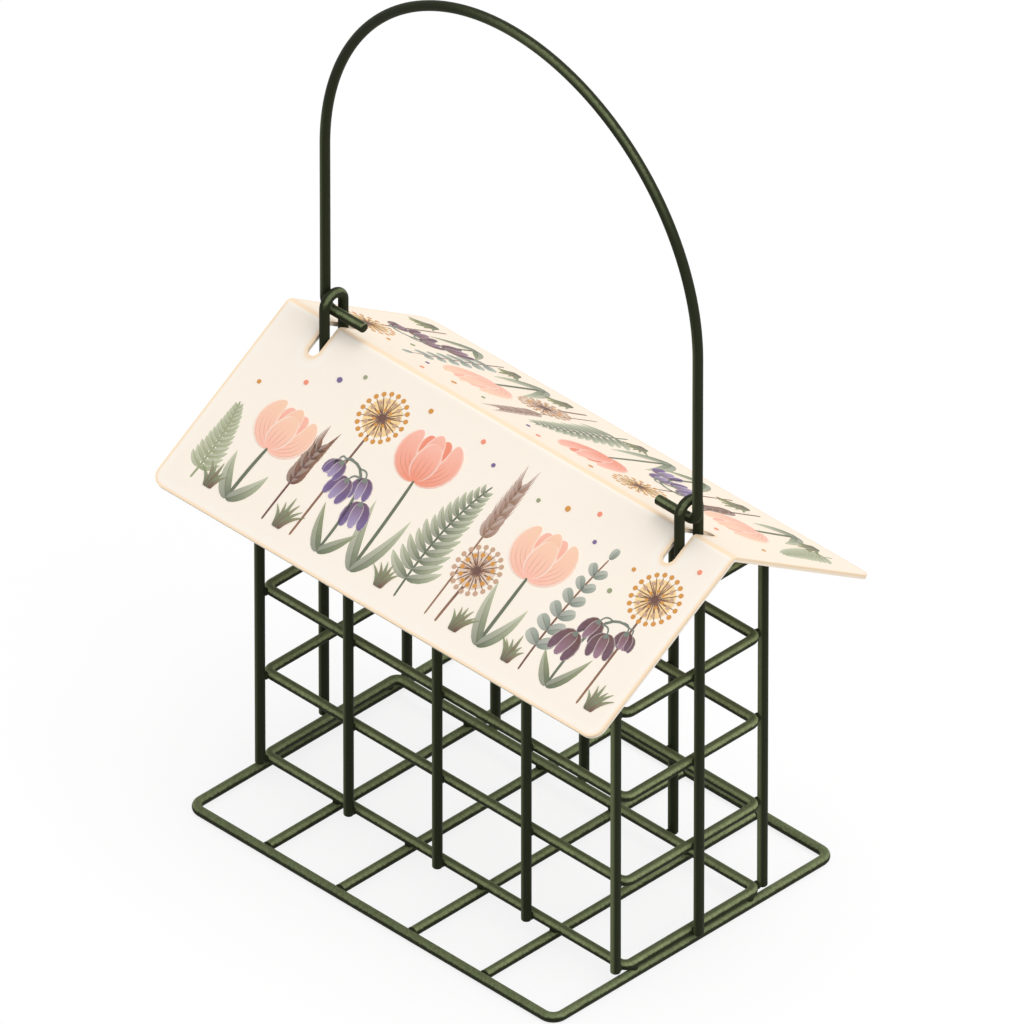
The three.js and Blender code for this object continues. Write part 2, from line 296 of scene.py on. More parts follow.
class OliveCoat(Shader):
    """Dark green coat with a fine uneven skin, with painted olive highlights on the sides that face up or to
    one side, and painted dark lines of shade.

    Most of its ramps start and end at how far the surface faces a way, where 1 is straight that way.
    """

    skin_height = 0.1 * MM
    above_tray_fade = 0.4 * MM
    above_roof_fade = 1 * MM
    tray_ends = (60 * MM, 63 * MM)
    corner_along = (45 * MM, 60 * MM)
    corner_across = (12 * MM, 20 * MM)
    legs_above_feet = (2 * MM, 7 * MM)
    arch_fade = 20 * MM

    def __init__(self, name, settings):
        super().__init__(bpy.data.materials.new(name))
        self.settings = settings
        place, (self.x, self.y, self.height) = self.position()
        self.right, self.rear, self.up = self.parts(self.node("ShaderNodeTexCoord", output="Normal"))
        self.patches = self.noise(place, settings.patch, 2.0)
        self.cells = self.noise(place, settings.grain, 1.0)
        self.uneven = (self.cells - 0.5) * 0.25 + (self.patches - 0.5) * 0.15

    def grained_highlight(self, olive):
        """The painted olive highlight, with the darker grains and patches of the coat's skin in it."""
        mottle = self.ramp(self.cells, 0.36, 0.64) * 0.75 + self.ramp(self.patches, 0.35, 0.65) * 0.25
        return self.blend("MULTIPLY", 0.3 - mottle * 0.3, olive, (0.0, 0.0, 0.0))

    def side_highlight(self):
        """Painted highlight on the left edge of an upright wire, strongest on those at the right corners."""
        corner = self.ramp(self.x, *self.corner_along) * self.ramp(abs(self.y), *self.corner_across)
        return self.ramp((self.right + self.rear) * -0.7 + corner * 0.3, 0.3, 1.0) * (corner * 0.38 + 0.48)

    def weld_coat(self):
        return self.opaque(self.settings.coat_dark)

    def upright_coat(self):
        # Painted highlight on the left edge over the coat's dark colour.
        return self.mix(self.side_highlight(), self.settings.coat_dark, self.settings.coat)

    def cage_coat(self):
        """Painted highlights on the shoulders of the level wires and on one side of the loops, and a painted
        dark line of shade along the tops.
        """
        settings = self.settings
        tray_top = 2 * wire_radius()
        roof_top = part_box("roof")[1].z
        above_tray = self.ramp(self.height, tray_top, tray_top + self.above_tray_fade)
        above_roof = self.ramp(self.height, roof_top - self.above_roof_fade, roof_top)
        # Painted highlight mask: the shoulders of the level wires, which face up.
        shoulder = self.ramp(self.up + above_tray * 0.1 + self.uneven, 0.25, 0.6)
        # Painted shade: a dark line along the top of each level wire.
        painted_shade_line = self.ramp(self.up + (self.cells - 0.5) * 0.1, 0.68, 1.0) * (above_tray * 0.48 + 0.2)
        # Painted highlight on the right side of the loops above the roof.
        loop_highlight = self.ramp(self.right + self.uneven, 0.15, 0.5) * (1 - self.ramp(self.right, 0.8, 1.0))
        kept = (1 - painted_shade_line) * (1 - above_roof) + loop_highlight * 0.7 * above_roof
        # Lighter painted highlights on the wires from front to back and on the rings, to make up for the roof's
        # shade; less on the tray's ends, which the side lamp lights.
        crosswise = self.ramp(abs(self.right), 0.15, 0.6)
        tray_end = self.ramp(abs(self.x), *self.tray_ends) * (1 - above_tray) * 0.5
        painted_highlight = self.mix(above_tray, settings.coat, settings.coat_ring)
        painted_highlight = self.mix(crosswise * (1 - tray_end), painted_highlight, settings.coat_side)
        painted_highlight = self.mix(above_roof, painted_highlight, settings.coat)
        return self.mix(shoulder * kept, settings.coat_dark, self.grained_highlight(painted_highlight))

    def bail_coat(self):
        """Painted highlights on the feet, with a painted dark line of shade along their tops, on the arch's
        front near its crown, and on the left edges of the legs.
        """
        settings = self.settings
        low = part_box("bail")[0].z + wire_radius()
        crown = low + settings.leg_height
        leg_start, leg_full = self.legs_above_feet
        legs = self.ramp(self.height, low + leg_start, low + leg_full)
        # Painted highlight along the arch's front near its crown.
        turn = self.math("ARCTAN2", self.height - crown, self.x)
        crest = self.ramp(turn, 0.45, 1.0) * (1 - self.ramp(turn, 1.35, 1.95))
        facing = self.rear + self.ramp(turn, 0.9, 1.6) * 0.2
        front = self.ramp(self.uneven - facing, 0.02, 0.42) * self.ramp(facing, -0.95, -0.55)
        # Painted highlight on the feet, with a painted dark line of shade along their tops.
        feet = self.ramp(self.up + self.uneven, 0.35, 0.7) * (1 - self.ramp(self.up, 0.85, 1.0) * 0.9)
        below_arch = 1 - self.ramp(self.height, crown, crown + self.arch_fade)
        # Painted highlight on the left edges of the legs, below the arch.
        colour = self.mix(self.side_highlight() * legs * below_arch, settings.coat_dark, settings.coat)
        painted_highlight = feet * (1 - legs) + crest * front * legs * 0.75
        return self.mix(painted_highlight, colour, self.grained_highlight(settings.coat))


def olive_coat(name, settings):
    """The coat of that name, which OliveCoat has a method for."""
    coat = OliveCoat(name, settings)
    return coat.surface(
        Base_Color=getattr(coat, name)(),
        Roughness=0.45 + coat.cells * 0.15,
        Specular_IOR_Level=0.06,
        Normal=coat.bump(coat.cells * 0.6 + coat.patches * 0.4, coat.skin_height, 0.6),
    )


def roof_apex(settings):
    """Height at which the tops of the two slopes would meet, were the ridge not rounded."""
    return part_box("roof")[1].z + settings.fold * (1 / math.cos(settings.pitch) - 1)


def cream_enamel(name, settings):
    """Cream enamel with a peach band along the edges, the slots and the ridge, a painted highlight just inside
    the band and a painted shade that deepens the rear slope.
    """
    waves, wave_height = 9 * MM, 0.2 * MM
    bright_start, bright_full, bright_end = 0.9 * MM, 1.5 * MM, 3.2 * MM
    rear_fade = 1 * MM
    cloud, grain, grain_height = 28 * MM, 0.9 * MM, 0.03 * MM
    shader = Shader(bpy.data.materials.new(name))
    place, (x, y, z) = shader.position()
    level = abs(y)
    nearest = edge_distance(shader, abs(x), level, y, settings)
    wavy = nearest + shader.noise(place, waves, 1.0) * wave_height
    on_top = 1.0 - shader.ramp(wavy, settings.band_width, settings.band_width + settings.band_fade)
    cosine = math.cos(settings.pitch)
    depth = ((roof_apex(settings) - z) - level * math.tan(settings.pitch)) * cosine
    band = on_top * (1.0 - shader.ramp(depth, 0.45 * settings.sheet, 0.6 * settings.sheet))
    # Painted highlight: a paler line just inside the band.
    bright = shader.ramp(nearest, bright_start, bright_full)
    bright = bright * (1 - shader.ramp(nearest, bright_full, bright_end))
    skin = shader.noise(place, grain, 1.0)
    enamel = shader.mix(shader.noise(place, cloud, 3.0) * 0.5, settings.enamel, settings.clouded)
    enamel = shader.mix(bright * 0.35, enamel, settings.bright)
    # Painted shade: the rear slope turns a deeper cream.
    enamel = shader.mix(shader.ramp(y, 0.0, rear_fade), enamel, settings.enamel_rear_shade)
    return shader.surface(
        Base_Color=shader.mix(band, enamel, settings.band),
        Roughness=0.36 + skin * 0.08,
        Specular_IOR_Level=0.35,
        Normal=shader.bump(skin, grain_height, 0.35),
    )


def edge_distance(shader, across, level, y, settings):
    """How far a point of the roof is from the nearest edge, slot or ridge. It counts for less behind the
    ridge and by a slot, where the band is wider, and for more before the ridge, where it is narrower."""
    behind_ridge, before_ridge, by_slot = 0.28, -1.7, 0.7
    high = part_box("roof")[1]
    loop_low, loop_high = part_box("right_hanger_loop")
    loop_x = (loop_low.x + loop_high.x) / 2
    cosine = math.cos(settings.pitch)
    past_gable = across - (high.x - settings.corner)
    past_eave = level / cosine - (high.y / cosine - settings.corner)
    corner = shader.length(shader.most(past_gable, 0.0), shader.most(past_eave, 0.0))
    straight = shader.least(shader.most(past_gable, past_eave), 0.0)
    rim = settings.corner - corner - straight
    past_slot = shader.most(level - (settings.slot_half_length - settings.slot_half_width), 0.0)
    slot = shader.length(across - loop_x, past_slot) - settings.slot_half_width
    return shader.least(rim, shader.most(y * behind_ridge, y * before_ridge), slot * by_slot)


# What a shape of the print is, as its vein attribute says
PLAIN, LEAF, PETAL = 0, 1, 2


def print_ink(name):
    """Printed ink. Each point of the print carries its colour, its place across and along its leaf or petal,
    and whether that is a leaf or a petal."""
    brush = 2.2 * MM
    lit, deep, paper = (1.0, 0.93, 0.85), (0.45, 0.34, 0.32), paint(255, 246, 234)
    shader = Shader(bpy.data.materials.new(name))
    place = shader.position()[0]
    ink = shader.node("ShaderNodeAttribute", {"attribute_name": "ink"}, output="Color")
    vein = shader.node("ShaderNodeAttribute", {"attribute_name": "vein"}, output="Vector")
    across, along, kind = shader.parts(vein)
    leaf = shader.math("COMPARE", kind, LEAF, 0.5)
    petal = shader.math("COMPARE", kind, PETAL, 0.5)
    midrib = (1 - shader.ramp(abs(across), 0.05, 0.14)) * (1 - shader.ramp(along, 0.7, 0.92))
    stripe = abs(shader.math("FRACT", across * 2.5 + 10.5) - 0.5)
    stripe_ends = (1 - shader.ramp(along, 0.35, 0.72)) * shader.ramp(along, 0.02, 0.2)
    lines = (1 - shader.ramp(stripe, 0.03, 0.13)) * stripe_ends
    lit_half = shader.ramp(across, -0.03, 0.03) * 0.17
    lit_edge = shader.ramp(abs(across), 0.72, 1.0) * 0.45
    tint = shader.blend("MULTIPLY", leaf * midrib * 0.55 + petal * lines * 0.4, ink, deep)
    tint = shader.mix(leaf * lit_half + petal * lit_edge, tint, lit)
    return shader.surface(
        Base_Color=shader.mix(shader.noise(place, brush, 3.0) * 0.1, tint, paper),
        Roughness=0.5,
        Specular_IOR_Level=0.08,
    )


def material_named(name, make, *settings):
    """The material of that name, made the first time it is asked for."""
    return bpy.data.materials.get(name) or make(name, *settings)


def new_object(name, mesh, material):
    """Turns a finished bmesh into an object of the scene."""
    data = bpy.data.meshes.new(name)
    mesh.to_mesh(data)
    mesh.free()
    data.materials.append(material)
    made = bpy.data.objects.new(name, data)
    bpy.context.scene.collection.objects.link(made)
    return made


def add_piece(name, mesh, material, body, replaced=()):
    """Makes a piece that rides on a body and stands for the nodes that it replaces."""
    piece = new_object(name, mesh, material)
    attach(piece, body)
    if replaced:
        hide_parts(*replaced)
    return piece


def round_edges(mesh, edges, offset, segments, clamp_overlap=False):
    bmesh.ops.bevel(
        mesh,
        geom=edges,
        offset=offset,
        affect="EDGES",
        segments=segments,
        profile=0.5,
        material=-1,
        clamp_overlap=clamp_overlap,
    )


def shade_smooth(mesh):
    for face in mesh.faces:
        face.smooth = True


def nodes_named(words):
    return sorted(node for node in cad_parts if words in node)


def wire_radius():
    low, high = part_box("front_upright_1")
    return (high.x - low.x) / 2


def wire_box(node):
    """The lowest and highest corner of the box round a wire's middle line."""
    low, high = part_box(node)
    inset = Vector((1, 1, 1)) * wire_radius()
    return low + inset, high - inset


class BentWire:
    """A round wire drawn along straight runs and bends, which all turn about one axis."""

    end_segments = 4

    def __init__(self, start, heading, axis, settings, closed=False):
        self.mesh = bmesh.new()
        self.point = Vector(start)
        self.heading = Vector(heading)
        self.axis = Vector(axis)
        self.settings = settings
        self.closed = closed
        turned = self.heading.to_track_quat("Z", "Y").to_matrix().to_4x4()
        placed = Matrix.Translation(self.point) @ turned
        bmesh.ops.create_circle(self.mesh, segments=settings.sides, radius=wire_radius(), matrix=placed)
        self.rim = self.mesh.edges[:]
        if not closed:
            bmesh.ops.edgeloop_fill(self.mesh, edges=self.rim)

    def straight(self, length):
        grown = bmesh.ops.extrude_edge_only(self.mesh, edges=self.rim)["geom"]
        corners = [part for part in grown if isinstance(part, bmesh.types.BMVert)]
        bmesh.ops.translate(self.mesh, verts=corners, vec=self.heading * length)
        self.rim = self.end_of(grown)
        self.point += self.heading * length

    def bend(self, radius, degrees, steps):
        centre = self.point + self.axis.cross(self.heading) * radius
        parts = self.rim + list(dict.fromkeys(corner for edge in self.rim for corner in edge.verts))
        angle = math.radians(degrees)
        spun = bmesh.ops.spin(
            self.mesh, geom=parts, cent=centre, axis=self.axis, angle=angle, steps=steps, use_merge=False
        )
        self.rim = self.end_of(spun["geom_last"])
        turn = Matrix.Rotation(angle, 3, self.axis)
        self.point = centre + turn @ (self.point - centre)
        self.heading = turn @ self.heading

    def end_of(self, parts):
        return [part for part in parts if isinstance(part, bmesh.types.BMEdge) and part.is_boundary]

    def finish(self):
        """Joins a closed wire to its start, or closes an open one and rounds its two cut edges."""
        if self.closed:
            bmesh.ops.remove_doubles(self.mesh, verts=self.mesh.verts, dist=MERGE_DISTANCE)
        else:
            bmesh.ops.edgeloop_fill(self.mesh, edges=self.rim)
            ends = [face for face in self.mesh.faces if len(face.verts) > 4]
            edges = list(dict.fromkeys(edge for face in ends for edge in face.edges))
            round_edges(self.mesh, edges, self.settings.cut_edge, self.end_segments)
        bmesh.ops.recalc_face_normals(self.mesh, faces=self.mesh.faces)
        shade_smooth(self.mesh)
        return self.mesh


# Steps of each bend of a wire
CORNER_STEPS = 10
LOOP_STEPS = 28
FOOT_STEPS = 12
ARCH_STEPS = 96


def add_wire(node, wire):
    """Finishes a wire as the coated piece that stands for its node."""
    body = "bail" if node == "bail" else "cage"
    coat = "upright_coat" if "upright" in node else f"{body}_coat"
    material = material_named(coat, olive_coat, bpy.context.scene.feeder_wire)
    add_piece(f"coated_{node}", wire.finish(), material, body, (node,))


def rectangle_wire(node, radius, settings):
    """A closed wire bent at four corners, started at the middle of its front side."""
    low, high = wire_box(node)
    wire = BentWire((0, low.y, low.z), X, Z, settings, closed=True)
    wire.straight(high.x - radius)
    for side in (high.y - low.y, high.x - low.x, high.y - low.y):
        wire.bend(radius, 90, CORNER_STEPS)
        wire.straight(side - 2 * radius)
    wire.bend(radius, 90, CORNER_STEPS)
    wire.straight(high.x - radius)
    return wire


def straight_wire(node, along, settings):
    """A straight wire along one axis, cut off square at both ends."""
    low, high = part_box(node)
    reach = (high - low).dot(along)
    wire = BentWire((low + high) / 2 - along * reach / 2, along, X, settings)
    wire.straight(reach)
    return wire


class FEEDER_OT_tray(bpy.types.Operator):
    """Makes the tray: a flat wire frame and the wires across it"""

    bl_idname = "feeder.tray"
    bl_label = "Tray"

    def execute(self, context):
        settings = context.scene.feeder_wire
        add_wire("tray_frame", rectangle_wire("tray_frame", settings.tray_bend, settings))
        for node in nodes_named("tray_cross_wire"):
            add_wire(node, straight_wire(node, Y, settings))
        return {"FINISHED"}


class FEEDER_OT_cage(bpy.types.Operator):
    """Makes the cage's rings and the uprights round them"""

    bl_idname = "feeder.cage"
    bl_label = "Cage"

    def execute(self, context):
        settings = context.scene.feeder_wire
        for node in nodes_named("cage_ring"):
            add_wire(node, rectangle_wire(node, settings.ring_bend, settings))
        for node in nodes_named("upright"):
            add_wire(node, straight_wire(node, Z, settings))
        return {"FINISHED"}


class FEEDER_OT_hanger_loops(bpy.types.Operator):
    """Makes the two loops that stand through the roof"""

    bl_idname = "feeder.hanger_loops"
    bl_label = "Hanger loops"

    def execute(self, context):
        for node in nodes_named("hanger_loop"):
            low, high = wire_box(node)
            bottom = low.z - wire_radius()
            leg = high.z - high.y - bottom
            wire = BentWire((low.x, low.y, bottom), Z, -X, context.scene.feeder_wire)
            wire.straight(leg)
            wire.bend(high.y, 180, LOOP_STEPS)
            wire.straight(leg)
            add_wire(node, wire)
        return {"FINISHED"}


class FEEDER_OT_bail(bpy.types.Operator):
    """Makes the bail: two feet turned in through the loops, two legs and a high arch"""

    bl_idname = "feeder.bail"
    bl_label = "Bail"

    def execute(self, context):
        settings = context.scene.feeder_wire
        low, high = wire_box("bail")
        bend = settings.foot_bend
        foot = settings.foot_length - bend
        leg = settings.leg_height - bend
        wire = BentWire((settings.foot_length - high.x, 0, low.z), -X, Y, settings)
        wire.straight(foot)
        wire.bend(bend, 90, FOOT_STEPS)
        wire.straight(leg)
        wire.bend(high.x, 180, ARCH_STEPS)
        wire.straight(leg)
        wire.bend(bend, 90, FOOT_STEPS)
        wire.straight(foot)
        self.raise_crown(wire.mesh, low.z + settings.leg_height, high)
        add_wire("bail", wire)
        return {"FINISHED"}

    def raise_crown(self, mesh, crown_z, high):
        """Draws the half circle up into the half ellipse of the real arch."""
        rise = (high.z + wire_radius() - crown_z) / (high.x + wire_radius())
        arch = [corner for corner in mesh.verts if corner.co.z > crown_z + MERGE_DISTANCE]
        centre = Matrix.Translation((0, 0, -crown_z))
        bmesh.ops.scale(mesh, vec=(1, 1, rise), space=centre, verts=arch)


class FEEDER_OT_welds(bpy.types.Operator):
    """Makes the coated beads that bridge the wires where they are welded"""

    bl_idname = "feeder.welds"
    bl_label = "Welds"

    bead_segments = 20

    def execute(self, context):
        wires = context.scene.feeder_wire
        settings = context.scene.feeder_weld
        mesh = bmesh.new()
        for place, across, reach in self.ring_crossings(wires.ring_bend) + self.tray_crossings():
            self.add_bead(mesh, place, across, settings.width, settings.depth, reach)
        for place, across in self.butt_ends():
            self.add_bead(mesh, place, across, settings.collar, settings.collar_depth, place.z)
        shade_smooth(mesh)
        add_piece("weld_beads", mesh, material_named("weld_coat", olive_coat, wires), "cage")
        return {"FINISHED"}

    def add_bead(self, mesh, place, across, width, depth, reach):
        """A flattened bead at a place, thinnest along the line from one wire to the other. It reaches no
        further up and down than is said."""
        sizes = [depth if across[axis] else width for axis in range(3)]
        sizes[2] = min(sizes[2], reach)
        shape = Matrix.Translation(place) @ Matrix.Diagonal((*sizes, 1))
        around = self.bead_segments
        bmesh.ops.create_uvsphere(mesh, u_segments=around, v_segments=around // 2, radius=1, matrix=shape)

    def ring_crossings(self, ring_bend):
        """Where a ring crosses an upright, the way from one to the other, and the room up and down."""
        radius = wire_radius()
        found = []
        for ring in nodes_named("cage_ring"):
            low, high = wire_box(ring)
            for upright in nodes_named("upright"):
                bottom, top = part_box(upright)
                middle = (bottom + top) / 2
                z = min(low.z, top.z - radius)
                reach = min(z - bottom.z, top.z - z) + radius / 2
                if abs(middle.y) < radius:
                    side = math.copysign((abs(middle.x) + high.x) / 2, middle.x)
                    found.append((Vector((side, 0, z)), X, reach))
                else:
                    side = math.copysign((abs(middle.y) + high.y) / 2, middle.y)
                    x = math.copysign(min(abs(middle.x), high.x - ring_bend / 2), middle.x)
                    found.append((Vector((x, side, z)), Y, reach))
        return found

    def tray_crossings(self):
        """Where the lowest ring lies on the tray's cross wires and beside the ends of its frame."""
        low, high = wire_box("cage_ring_1")
        tray_low, tray_high = wire_box("tray_frame")
        z = (low.z + tray_low.z) / 2
        places = []
        for wire in nodes_named("tray_cross_wire"):
            bottom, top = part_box(wire)
            places.extend(((bottom.x + top.x) / 2, y) for y in (low.y, high.y))
        corner_x = (high.x + tray_high.x) / 2
        corner_y = high.y - 2 * wire_radius()
        places.extend((x, y) for x in (-corner_x, corner_x) for y in (-corner_y, corner_y))
        return [(Vector((x, y, z)), Z, z) for x, y in places]

    def butt_ends(self):
        """Where a cross wire meets the tray's frame, and where a loop's leg stands on the top ring."""
        found = []
        for wire in nodes_named("tray_cross_wire"):
            low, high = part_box(wire)
            middle = (low + high) / 2
            found.extend((Vector((middle.x, y, middle.z)), Y) for y in (low.y, high.y))
        for loop in nodes_named("hanger_loop"):
            low, high = wire_box(loop)
            found.extend((Vector((low.x, y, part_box(loop)[0].z)), Z) for y in (low.y, high.y))
        return found


class FEEDER_OT_roof(bpy.types.Operator):
    """Makes the folded roof sheet with softened cut edges"""

    bl_idname = "feeder.roof"
    bl_label = "Roof"

    flat_angle = math.radians(0.5)
    cut_angle = math.radians(45)
    edge_segments = 3

    def execute(self, context):
        settings = context.scene.feeder_roof
        mesh = bmesh.new()
        mesh.from_mesh(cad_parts["roof"].data)
        bmesh.ops.remove_doubles(mesh, verts=mesh.verts, dist=MERGE_DISTANCE)
        bmesh.ops.dissolve_limit(mesh, angle_limit=self.flat_angle, verts=mesh.verts, edges=mesh.edges)
        rims = [edge for edge in mesh.edges if edge.calc_face_angle(0) > self.cut_angle]
        round_edges(mesh, rims, settings.edge, self.edge_segments, clamp_overlap=True)
        shade_smooth(mesh)
        material = material_named("cream_enamel", cream_enamel, settings)
        piece = add_piece("enamelled_roof", mesh, material, "roof", ("roof",))
        weighted = piece.modifiers.new("flat_panels", "WEIGHTED_NORMAL")
        weighted.keep_sharp = True
        return {"FINISHED"}


INKS = {
    "coral": paint(244, 146, 118),
    "coral_deep": paint(232, 118, 90),
    "blush": paint(253, 190, 170),
    "peach": paint(252, 208, 178),
    "ochre": paint(214, 148, 62),
    "ochre_pale": paint(248, 214, 154),
    "tan": paint(201, 164, 136),
    "tan_pale": paint(226, 203, 184),
    "brown": paint(106, 70, 62),
    "brown_mid": paint(146, 106, 80),
    "rose_brown": paint(188, 158, 146),
    "plum": paint(106, 74, 96),
    "plum_pale": paint(152, 116, 136),
    "violet": paint(116, 96, 148),
    "lilac": paint(168, 152, 192),
    "sage": paint(152, 160, 122),
    "sage_pale": paint(192, 197, 166),
    "sage_deep": paint(96, 107, 84),
    "slate": paint(118, 128, 118),
    "slate_pale": paint(172, 180, 166),
}

# Outlines of a leaf, petal or stem: how thin its root and how thin its tip runs out
STALK = (0.06, 0.14)
LONG_LEAF = (0.5, 1)
ROUND_LEAF = (0.5, 0.36)
FROND_LEAF = (0.5, 0.75)
CUP_PETAL = (0.5, 0.5)
BELL_PETAL = (0.5, 0.42)
KERNEL = (0.5, 0.6)
BRISTLE = (0.1, 0.3)
SPOKE = (0.1, 0.1)
GRASS_BLADE = (0.2, 0.9)

# A tulip's petals from the rear to the front, in shares of the flower's size: how far across and ahead the
# bow and the tip lie, and the width. The last two count out the inks of the root and the tip
TULIP_PETAL_SHARES = (
    (-0.1, 0.5, -0.22, 0.98, 0.5, 0, 1),
    (0.1, 0.5, 0.24, 1.0, 0.5, 0, 1),
    (0, 0.45, 0, 1.06, 0.52, 0, 2),
    (-0.78, 0.3, -0.44, 1.0, 0.5, 1, 2),
    (0.78, 0.3, 0.44, 1.0, 0.5, 1, 2),
    (0, 0.38, 0.02, 0.86, 0.62, 1, 2),
)

# A seed head's rings of seeds: how many, how far out as a share of its radius, a seed's radius and which ink
SEED_RINGS = ((20, 1.0, 0.72, 1), (13, 0.66, 0.66, 2), (7, 0.34, 0.5, 1))

# How far each bell hangs to the outer side of its stem, from the root on
BELL_SWAYS = (-0.75, 0.7, -0.75, 0.7, 0.35)

# Where the blades of a tuft stand and lean, from its left to its right
TUFT_SHARES = (-1, -0.6, -0.2, 0.25, 0.65, 1)


class PlantPrint:
    """Draws a plant as flat ink shapes, in millimetres from its foot. A curve is the places of its root, of
    the bow that pulls it out and of its tip."""

    layers_per_depth = 9
    merge_distance = 0.002
    dot_sides = 14

    def __init__(self, settings, number, depth):
        self.mesh = bmesh.new()
        self.ink = self.mesh.verts.layers.float_color.new("ink")
        self.vein = self.mesh.verts.layers.float_vector.new("vein")
        self.step = settings.layer / MM
        self.chance = random.Random(settings.seed + number)
        self.layer = 1 + depth * self.layers_per_depth

    def vary(self, share):
        return 1 + self.chance.uniform(-share, share)

    def on_curve(self, curve, share):
        """A point of a curve, and the way it runs there."""
        root, bow, tip = (Vector(point) for point in curve)
        point = root * (1 - share) ** 2 + bow * 2 * share * (1 - share) + tip * share**2
        return point, (bow - root) * (1 - share) + (tip - bow) * share

    def blade(self, curve, width, outline, inks, kind=PLAIN, steps=10):
        """A leaf, petal or stem along a curve. Its ink turns from the first to the second along it."""
        rise, fall = outline
        widest = rise / (rise + fall)
        full = widest**rise * (1 - widest) ** fall
        first, second = (Vector(INKS[name]) for name in inks)
        corners = bmesh.ops.create_grid(self.mesh, x_segments=steps, y_segments=2, size=1)["verts"]
        for corner in corners:
            share = (1 - math.cos(math.pi * (corner.co.x + 1) / 2)) / 2
            across = corner.co.y
            point, way = self.on_curve(curve, share)
            side = Vector((-way.y, way.x)).normalized()
            half = width / 2 * share**rise * (1 - share) ** fall / full
            point = point + side * half * across
            corner.co = (point.x, point.y, self.layer * self.step)
            corner[self.ink] = (*first.lerp(second, share), 1.0)
            corner[self.vein] = (across, share, kind)
        bmesh.ops.remove_doubles(self.mesh, verts=corners, dist=self.merge_distance)

    def dot(self, place, radius, ink):
        placed = Matrix.Translation((*place, self.layer * self.step))
        made = bmesh.ops.create_circle(
            self.mesh, cap_ends=True, segments=self.dot_sides, radius=radius, matrix=placed
        )
        for corner in made["verts"]:
            corner[self.ink] = (*INKS[ink], 1.0)

    def stem(self, curve, width, inks):
        self.blade(curve, width, STALK, inks, steps=14)

    def pairs_along(self, curve, pairs, start, reach):
        """Goes up a stem pair by pair, from one share of it over a reach, with every second pair on its own
        layer. Gives the pair's share of all pairs, its share of the stem, its place and the stem's way."""
        base = self.layer
        for pair in range(pairs):
            self.layer = base + 1 + pair % 2
            share = start + reach * pair / pairs
            point, way = self.on_curve(curve, share)
            yield pair / pairs, share, point, way.normalized()

    def turned(self, way, degrees):
        return Matrix.Rotation(math.radians(degrees), 2) @ way

    def tulip(self, height, lean, inks):
        """A tulip from the side: a cup of six petals on a stem between two long leaves."""
        stem_width, leaf_width, leaf_bow, leaf_spread, flower = 1.0, 3.6, 5.2, 6.4, 13
        curve = ((0, 0), (lean * 0.1, height * 0.6), (lean, height))
        self.stem(curve, stem_width, ("sage_deep", "sage_deep"))
        for side, share in ((-1, 0.92), (1, 0.8)):
            self.layer += 1
            reach = height * self.vary(0.1) * share
            tip = (side * leaf_spread + lean * 0.3, reach * 0.8)
            leaf = ((0, 0), (side * leaf_bow, reach * 0.3), tip)
            self.blade(leaf, leaf_width, LONG_LEAF, ("sage_deep", "sage_pale"), LEAF, steps=12)
        size = flower * self.vary(0.05)
        base, way = self.on_curve(curve, 1)
        ahead = way.normalized() * size
        across = Vector((ahead.y, -ahead.x))
        for bow_x, bow_y, tip_x, tip_y, width, first, second in TULIP_PETAL_SHARES:
            self.layer += 1
            petal = (base, base + ahead * bow_y + across * bow_x, base + ahead * tip_y + across * tip_x)
            self.blade(petal, width * size, CUP_PETAL, (inks[first], inks[second]), PETAL, steps=14)

    def fern(self, height, lean, inks):
        """A fern frond: pairs of small leaves that shorten towards the tip."""
        stem_width, least_width, pairs = 0.7, 0.9, 13
        curve = ((0, 0), (lean * -0.5, height * 0.62), (lean, height))
        self.stem(curve, stem_width, inks[:1] * 2)
        for _, share, point, way in self.pairs_along(curve, pairs, start=0.13, reach=0.84):
            reach = height * 0.27 * (1 - share) ** 0.55 * self.vary(0.05)
            for side in (-1, 1):
                tip = point + self.turned(way, side * (62 - 24 * share)) * reach
                bow = point + self.turned(way, side * 78) * reach * 0.5
                self.blade((point, bow, tip), reach * 0.2 + least_width, FROND_LEAF, inks, LEAF, steps=7)

    def globe(self, height, lean, inks):
        """A round seed head: spokes with a seed at each end."""
        stem_width, spoke_width, head, heart = 0.75, 0.34, 7, 1.1
        middle = Vector((lean, height))
        self.stem(((0, 0), (lean * 0.2, height * 0.55), middle), stem_width, ("brown_mid", "brown"))
        radius = head * self.vary(0.05)
        self.layer += 1
        self.dot(middle, radius * 0.82, inks[0])
        for count, reach, seed, ink in SEED_RINGS:
            for number in range(count):
                way = self.turned(Vector((0, 1)), 360 * (number + reach) / count)
                end = middle + way * radius * reach
                self.layer += 1
                spoke = (middle, middle.lerp(end, 0.5), end)
                self.blade(spoke, spoke_width, SPOKE, ("brown", "brown_mid"), steps=3)
                self.layer += 1
                self.dot(end, seed, inks[ink])
                self.layer -= 2
            self.layer += 1
        self.layer += 2
        self.dot(middle, heart, "brown")

